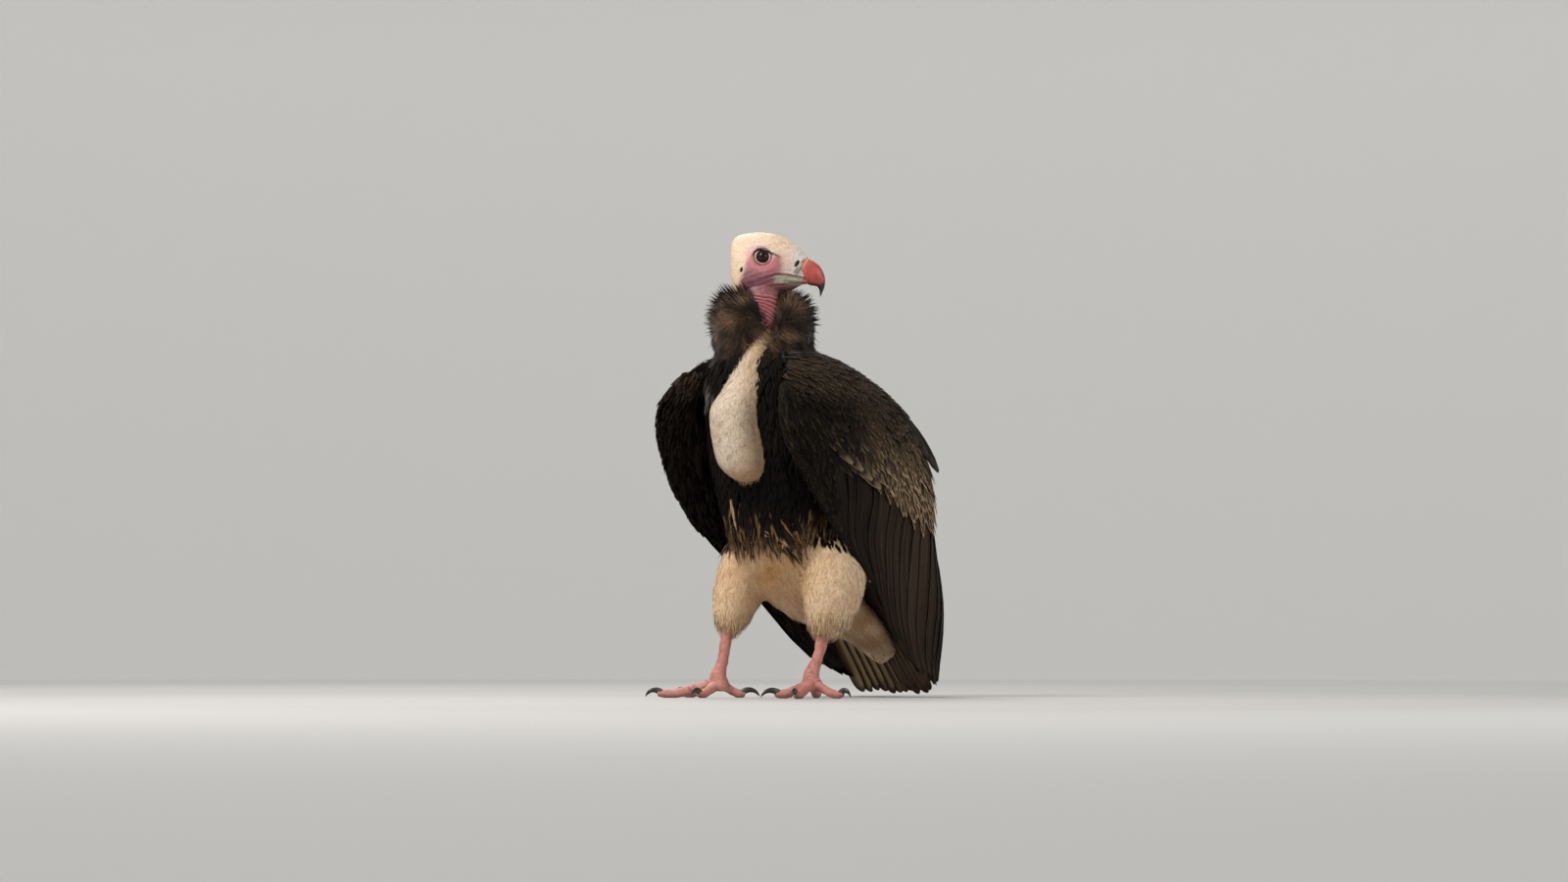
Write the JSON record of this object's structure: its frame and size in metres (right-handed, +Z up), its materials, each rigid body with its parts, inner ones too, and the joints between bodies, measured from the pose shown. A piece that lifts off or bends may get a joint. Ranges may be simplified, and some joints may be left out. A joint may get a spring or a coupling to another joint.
{
  "type": "white-headed vulture, standing, life-size still model",
  "caption": "Standing vulture with folded wings, full pale crop, dark ruff and hooked red bill; rests on its toes and the tip of its tail.",
  "frame": {"origin": "on the ground, at the middle of the bird's bounding box", "axes": "+Z up; the bird's body faces -Y, its left side is at +X and its tail at +Y"},
  "size_m": [0.3084, 0.4544, 0.69],
  "materials": {
    "dark_plumage": "blackish-brown overlapping feathers with paler edges, soft satin",
    "flight_feathers": "dark brown flight and tail feathers with paler edges and shafts, satin",
    "cream_down": "short cream down and soft cream feathers, matt",
    "head_skin": "bare pink to mauve skin, grey-white towards the bill, cream down on the crown",
    "leg_skin": "dull pink scaled skin",
    "red_horn": "orange-red horn, darkening to black at the hook",
    "claw_horn": "dark horn",
    "eye": "dark brown eye, wet gloss"
  },
  "bodies": {
    "root": {"trunk": "dark_plumage", "crop": "cream_down", "eye_right": "eye", "eye_left": "eye", "bill_upper": "red_horn", "bill_lower": "red_horn", "head": "head_skin", "neck": "dark_plumage", "undertail": "cream_down", "tail": "flight_feathers", "wing_left_arm": "dark_plumage", "wing_left_flight": "flight_feathers", "thigh_left": "cream_down", "shank_left": "leg_skin", "toe_left_middle": "leg_skin", "claw_left_middle": "claw_horn", "toe_left_inner": "leg_skin", "claw_left_inner": "claw_horn", "toe_left_outer": "leg_skin", "claw_left_outer": "claw_horn", "toe_left_hind": "leg_skin", "claw_left_hind": "claw_horn", "wing_right_arm": "dark_plumage", "wing_right_flight": "flight_feathers", "thigh_right": "cream_down", "shank_right": "leg_skin", "toe_right_middle": "leg_skin", "claw_right_middle": "claw_horn", "toe_right_inner": "leg_skin", "claw_right_inner": "claw_horn", "toe_right_outer": "leg_skin", "claw_right_outer": "claw_horn", "toe_right_hind": "leg_skin", "claw_right_hind": "claw_horn"}
  },
  "joints": []
}
